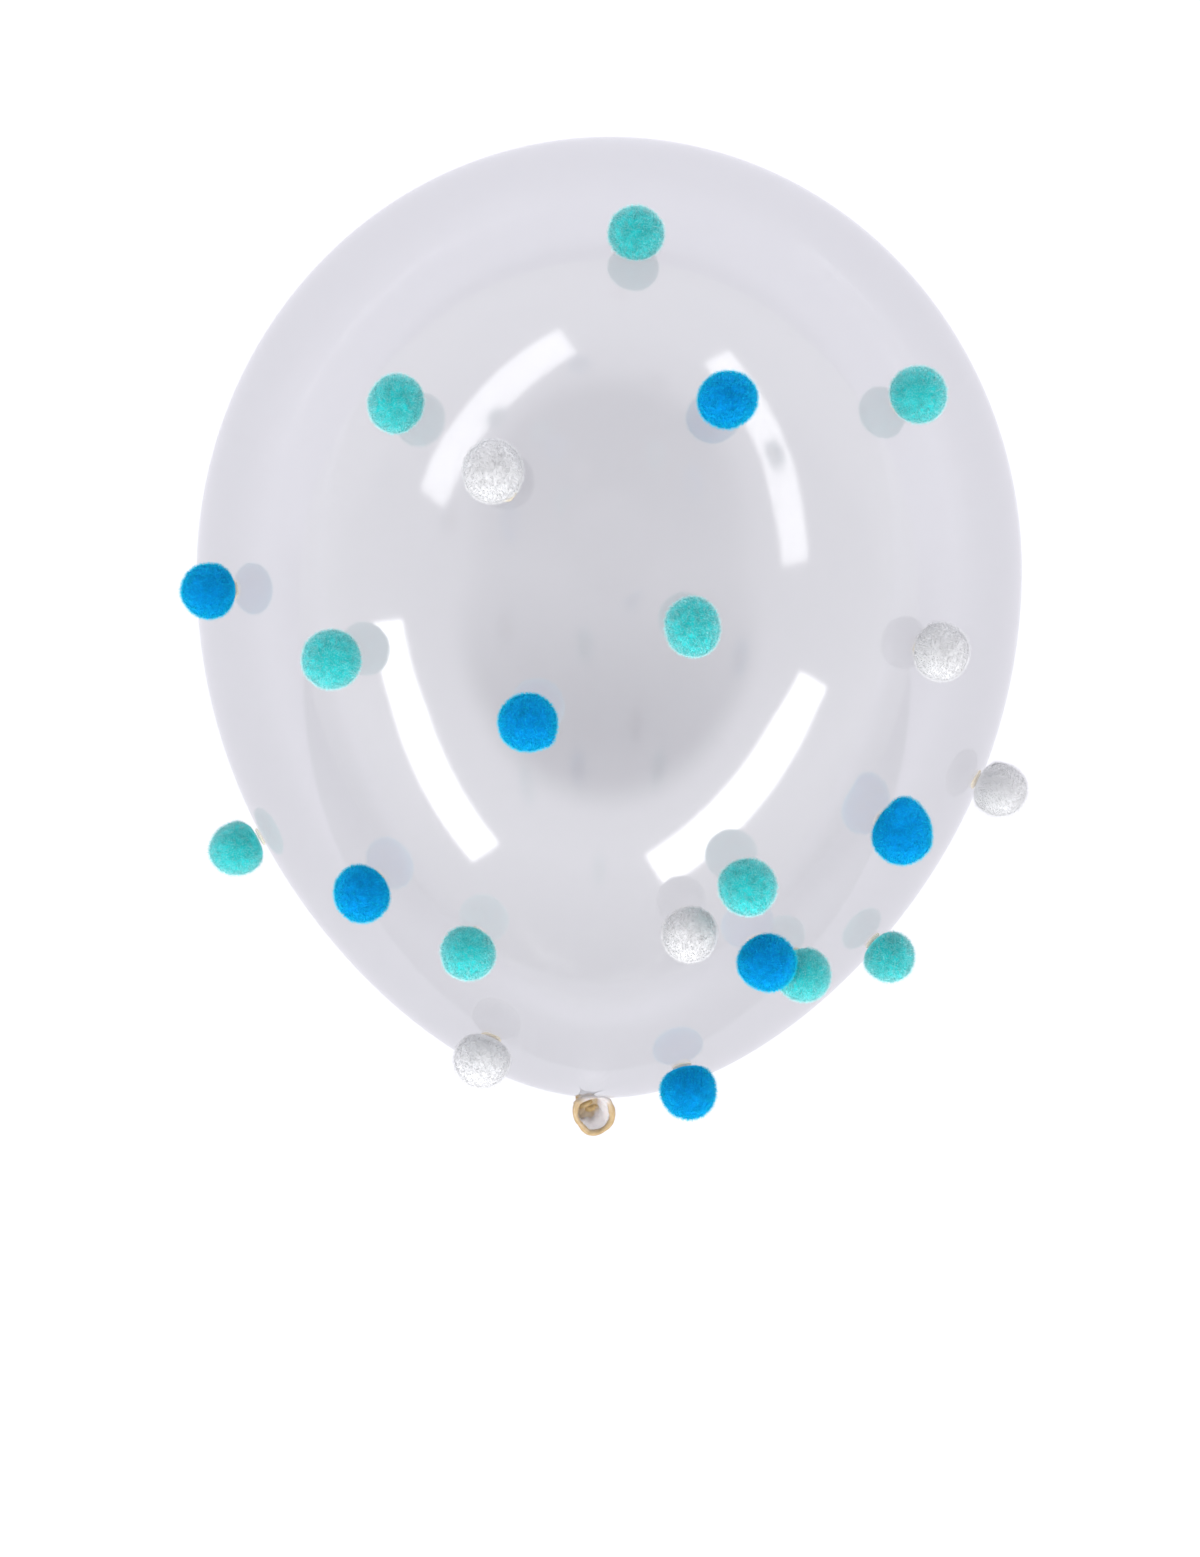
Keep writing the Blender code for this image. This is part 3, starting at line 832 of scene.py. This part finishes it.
    joined = addNode(tree, "GeometryNodeJoinGeometry", (1000, 200))
    link(felt.outputs["Geometry"], joined.inputs["Geometry"])
    link(real.outputs["Geometry"], joined.inputs["Geometry"])
    paint = addNode(tree, "GeometryNodeSetMaterial", (1120, 60))
    link(joined.outputs["Geometry"], paint.inputs["Geometry"])
    link(given.outputs["Material"], paint.inputs["Material"])
    link(paint.outputs["Geometry"], out.inputs["Pompom"])
    return tree


def plush(colour):
    shades = pompom["colours"][colour]
    material, tree, shader = plainMaterial(colour + "Plush")
    fibres = addNode(tree, "ShaderNodeGroup", (-300, 0), node_tree=fibreColour)
    for socket, key in (("Shaded Root", "root"), ("Body", "body"), ("Lit Tip", "litTip")):
        fibres.inputs[socket].default_value = (*shades[key], 1.0)
    setInputs(fibres, {"Tuft Scale": pompom["tuftScale"], "Mottle": pompom["mottle"][colour]})
    tree.links.new(fibres.outputs["Color"], shader.inputs["Base Color"])
    addBump(tree, fibres.outputs["Height"], pompom["bump"], pompom["bumpDepth"], shader, (-300, -250))
    setInputs(shader, {
        "Roughness": pompom["roughness"], "Specular IOR Level": pompom["specular"],
        "Subsurface Weight": pompom["softness"], "Subsurface Radius": (pompom["softReach"],) * 3,
        "Subsurface Scale": 1.0, "Sheen Weight": pompom["sheen"][colour],
        "Sheen Roughness": pompom["sheenRoughness"], "Sheen Tint": (*shades["litTip"], 1.0)})
    return material


def filmSpot(point):
    # the frame that stands on the film under a point: X round it, Y to the crown, Z straight out
    own = ownFrame.inverted() @ point
    turn = math.atan2(own.x, -own.y)
    flatPoint = Vector((math.hypot(own.x, own.y), own.z))
    latitude = min((step / 20 for step in range(-1760, 1761)),
                   key=lambda angle: (filmPoint(angle) - flatPoint).length)
    outward = Vector((math.sin(turn), -math.cos(turn), 0.0))
    around = Vector((math.cos(turn), math.sin(turn), 0.0))
    radius, height = filmPoint(latitude)
    slope = filmNormal(latitude)
    normal = outward * slope.x + Vector((0.0, 0.0, slope.y))
    spot = Matrix((around, normal.cross(around), normal)).transposed().to_4x4()
    spot.translation = outward * radius + Vector((0.0, 0.0, height))
    return ownFrame @ spot


def nodeMiddle(name):
    low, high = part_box(name)
    return (low + high) / 2


def smoothCopy(name, spot, levels):
    # the solid's shape in the frame on the film, merged and rounded off
    shape = bmesh.new()
    shape.from_mesh(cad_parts[name].data)
    bmesh.ops.remove_doubles(shape, verts=shape.verts, dist=0.00001)
    bmesh.ops.recalc_face_normals(shape, faces=shape.faces)
    bmesh.ops.dissolve_limit(shape, angle_limit=math.radians(1), verts=shape.verts, edges=shape.edges)
    mesh = bpy.data.meshes.new(name + "Shape")
    shape.to_mesh(mesh)
    shape.free()
    mesh.transform(spot.inverted())
    piece = addPiece(name + "Shape", mesh)
    rounding = piece.modifiers.new("rounding", "SUBSURF")
    rounding.levels = levels
    rounding.render_levels = levels
    graph = bpy.context.evaluated_depsgraph_get()
    rounded = bpy.data.meshes.new_from_object(piece.evaluated_get(graph), depsgraph=graph)
    bpy.data.objects.remove(piece)
    return rounded


def makePompoms():
    fuzz = fuzzTree()
    materials = {colour: plush(colour) for colour in pompom["colours"]}
    nodes = sorted(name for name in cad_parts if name.startswith("pompom_"))
    for seed, name in enumerate(nodes, start=1):
        colour = name.split("_")[1]
        spot = filmSpot(nodeMiddle(name))
        core = smoothCopy(name, spot, 3)
        outward = [vertex.normal * pompom["coreGrow"] for vertex in core.vertices]
        for vertex, move in zip(core.vertices, outward):
            vertex.co += move * min(max(vertex.co.z / 0.006, 0.0), 1.0)
        area = sum(face.area for face in core.polygons)
        source = addPiece(name + "Core", core)
        towards, tuftLength = pompom["tufts"].get(name, ((0.0, 0.0, 0.0), 0.0))
        centre = sum((vertex.co for vertex in core.vertices), Vector()) / len(core.vertices)
        mesh = bakeTree(source, fuzz, {
            "Density": pompom["fibres"] / area, "Fibre Length": pompom["fibreLength"],
            "Fibre Width": pompom["fibreWidth"], "Splay": pompom["splay"],
            "Felt Depth": pompom["feltDepth"], "Felt Scale": pompom["feltScale"],
            "Lump Depth": pompom["lumpDepth"], "Lump Scale": pompom["lumpScale"],
            "Centre": centre, "Tuft": towards, "Tuft Length": tuftLength, "Seed": seed,
            "Material": materials[colour]}, name + "Fuzz")
        mesh.transform(spot)
        mesh.shade_smooth()
        piece = addPiece(name + "_fuzz", mesh)
        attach(piece, "root")
        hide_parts(name)
    return len(nodes)


print("balloon:", makePompoms(), "pom-poms fluffed")


# glue

glue = {
    "colour": (0.82, 0.68, 0.42),
    "paleColour": (0.90, 0.80, 0.58),
    "alpha": 0.42,
    "swell": 0.10,
    "reachDown": 0.00025,
    "cloudSize": 300.0,
    "cloudContrast": 2.0,
    "roughness": 0.22,
}


def setGlue():
    material, tree, shader = plainMaterial("setGlue")
    spot = addNode(tree, "ShaderNodeTexCoord", (-700, 0))
    cloud = cloudMask(tree, spot.outputs["Object"], glue["cloudSize"], glue["cloudContrast"], (-480, 0))
    tone = mixColours(tree, cloud, glue["colour"], glue["paleColour"], (-250, 0))
    tree.links.new(tone, shader.inputs["Base Color"])
    setInputs(shader, {"Roughness": glue["roughness"], "Alpha": glue["alpha"]})
    return material


def makeGlue():
    material = setGlue()
    for name in sorted(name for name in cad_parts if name.startswith("glue_dot_")):
        spot = filmSpot(nodeMiddle(name))
        mesh = smoothCopy(name, spot, 3)
        for vertex in mesh.vertices:
            swell = 1 + glue["swell"] * noise.noise(vertex.co * 350 + spot.translation * 90)
            vertex.co.x *= swell
            vertex.co.y *= swell
            if vertex.co.z < 0.0006:
                vertex.co.z -= glue["reachDown"]
        mesh.transform(spot)
        mesh.materials.clear()
        mesh.materials.append(material)
        mesh.shade_smooth()
        piece = addPiece(name + "_blob", mesh)
        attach(piece, "root")
        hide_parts(name)


makeGlue()
print("balloon: glue set")


# studio

studio = {
    "floorSize": 8.0,
    "floorGap": 0.0004,
    "floorColour": (0.30, 0.30, 0.31),
    # the floor's glow is painted light: it washes out shadows and lights the balloon from below
    "floorGlow": (0.69, 0.68, 0.745),
    "glowFall": (0.30, -0.30, 0.74),       # full glow at this Y, and its share at the next
    "rimGlow": (-0.25, 0.34, 0.85, 1.75),  # round this Y it grows, from here to here, by so much
    "farGlow": 0.36,                       # share of the painted glow past its near edge
    "glowEdge": (-0.43, 0.19, 0.008),     # where it runs, how it slants back, how soft
    "strips": {
        "left": {"compass": -143.3, "height": 29.7, "distance": 1.3, "length": 1.14, "width": 0.22,
                 "twist": -9.1, "power": 4.0},
        "right": {"compass": -50.1, "height": 32.4, "distance": 1.5, "length": 1.35, "width": 0.27,
                  "twist": 4.9, "power": 5.8},
    },
    "keyLight": {"compass": -94.0, "height": 40.0, "distance": 1.7, "length": 1.3, "width": 1.0,
                 "twist": 0.0, "power": 22.0},
    # each: leaning on Y and on Z, from where, how bright there, to where, how bright there
    "walls": (-0.4, 1.0, -0.30, 1.72, 0.20, 1.23),
    "neckSide": (1.0, 1.6, -1.0, 0.85, -0.10, 0.0),      # taken off the walls
    "overhead": (1.0, 0.0, -0.55, 0.0, 0.10, 1.18),
    "patch": (-0.12, 1.0, 0.72, 0.0, 0.83, 1.0),
}


def makeFloor():
    shape = bmesh.new()
    bmesh.ops.create_grid(shape, x_segments=1, y_segments=1, size=studio["floorSize"] / 2)
    mesh = bpy.data.meshes.new("paleFloor")
    shape.to_mesh(mesh)
    shape.free()
    mesh.transform(Matrix.Translation((0.0, 0.0, -studio["floorGap"])))
    material, tree, shader = plainMaterial("paleFloor")
    setInputs(shader, {"Base Color": (*studio["floorColour"], 1.0), "Roughness": 0.9,
                        "Specular IOR Level": 0.0, "Emission Strength": 1.0})
    # painted light: the glow is weaker towards -Y, stronger further from Y -0.25, and low past an edge
    # towards -Y
    edge, slant, soft = studio["glowEdge"]
    spot = addNode(tree, "ShaderNodeTexCoord", (-1100, 0))
    parts = addNode(tree, "ShaderNodeSeparateXYZ", (-900, 0))
    tree.links.new(spot.outputs["Object"], parts.inputs[0])
    sideways = mathNode(tree, "ABSOLUTE", parts.outputs["X"], at=(-740, -100))
    aside = mathNode(tree, "MULTIPLY", sideways, slant, (-580, -100))
    along = mathNode(tree, "ADD", parts.outputs["Y"], aside, (-420, 0))
    edgeShare = rangeNode(tree, along, edge - soft, edge + soft, studio["farGlow"], at=(-260, 0))
    full, low, share = studio["glowFall"]
    fall = rangeNode(tree, parts.outputs["Y"], low, full, share, at=(-260, -300))
    centre, near, far, growth = studio["rimGlow"]
    reach = addNode(tree, "ShaderNodeVectorMath", (-740, -550), {1: (0.0, centre, 0.0)}, operation="DISTANCE")
    tree.links.new(spot.outputs["Object"], reach.inputs[0])
    rim = rangeNode(tree, reach.outputs["Value"], near, far, 1.0, growth, (-260, -600))
    glow = addNode(tree, "ShaderNodeVectorMath", (120, 0), {0: studio["floorGlow"]}, operation="SCALE")
    amount = mathNode(tree, "MULTIPLY", edgeShare, fall, (-80, -150))
    tree.links.new(mathNode(tree, "MULTIPLY", amount, rim, (20, -350)), glow.inputs["Scale"])
    tree.links.new(glow.outputs[0], shader.inputs["Emission Color"])
    mesh.materials.append(material)
    floor = addPiece("paleFloor", mesh)


def areaLight(name, given):
    turn, rise = math.radians(given["compass"]), math.radians(given["height"])
    away = Vector((math.cos(turn) * math.cos(rise), math.sin(turn) * math.cos(rise), math.sin(rise)))
    data = bpy.data.lights.new(name, "AREA")
    data.shape = "RECTANGLE"
    data.size = given["length"]
    data.size_y = given["width"]
    data.energy = given["power"]
    light = bpy.data.objects.new(name, data)
    bpy.context.scene.collection.objects.link(light)
    level = Vector((0, 0, 1)).cross(away).normalized()
    facing = Matrix((level, away.cross(level), away)).transposed().to_4x4()
    light.matrix_world = facing @ Matrix.Rotation(math.radians(given["twist"]), 4, "Z")
    light.location = middle + away * given["distance"]
    return light


def makeLights():
    for side, given in studio["strips"].items():
        areaLight("strip_" + side, given)
    key = areaLight("softKey", studio["keyLight"])
    key.visible_glossy = False        # it models the pom-poms and leaves no mark in the film


def makeSky():
    world = bpy.data.worlds.new("studioSky")
    world.use_nodes = True
    bpy.context.scene.world = world
    tree = world.node_tree
    spot = addNode(tree, "ShaderNodeTexCoord", (-1000, 0))
    parts = addNode(tree, "ShaderNodeSeparateXYZ", (-800, 0))
    tree.links.new(spot.outputs["Generated"], parts.inputs[0])
    shades = {}
    for i, key in enumerate(("walls", "neckSide", "overhead", "patch")):
        onY, onZ, low, dark, high, bright = studio[key]
        row = 250 - 250 * i
        onward = mathNode(tree, "MULTIPLY", parts.outputs["Y"], onY, (-600, row + 50))
        upward = mathNode(tree, "MULTIPLY", parts.outputs["Z"], onZ, (-600, row - 100))
        lean = mathNode(tree, "ADD", onward, upward, (-450, row))
        shades[key] = rangeNode(tree, lean, low, high, dark, bright, (-300, row),
                                "SMOOTHSTEP" if key == "patch" else "LINEAR")
    sky = addNode(tree, "ShaderNodeMix", (-50, 0), data_type="FLOAT")
    around = mathNode(tree, "SUBTRACT", shades["walls"], shades["neckSide"], (-150, 200))
    tree.links.new(shades["patch"], sky.inputs[0])
    tree.links.new(around, sky.inputs[2])
    tree.links.new(shades["overhead"], sky.inputs[3])
    background = tree.nodes["Background"]
    background.inputs["Color"].default_value = (1.0, 1.0, 1.03, 1.0)
    tree.links.new(sky.outputs[0], background.inputs["Strength"])


def makeCamera():
    past = math.radians(view["pastOverhead"])
    back = Vector((0.0, math.sin(past), math.cos(past)))
    up = Vector((0.0, math.cos(past), -math.sin(past)))
    right = Vector((1.0, 0.0, 0.0))
    place = middle + back * view["distance"]
    target = middle + up * view["aimUp"] + right * view["aimRight"]
    away = (place - target).normalized()
    side = up.cross(away).normalized()
    turned = Matrix((side, away.cross(side), away)).transposed() @ Matrix.Rotation(
        math.radians(view["roll"]), 3, "Z")
    data = bpy.data.cameras.new("photoView")
    data.lens = view["lens"]
    data.sensor_width = 36.0
    camera = bpy.data.objects.new("photoView", data)
    bpy.context.scene.collection.objects.link(camera)
    camera.matrix_world = Matrix.Translation(place) @ turned.to_4x4()
    bpy.context.scene.camera = camera


makeFloor()
makeLights()
makeSky()
makeCamera()
bpy.context.scene.view_settings.view_transform = "Standard"
bpy.context.scene.cycles.transparent_max_bounces = 24
print("balloon: floor, lights and camera placed")
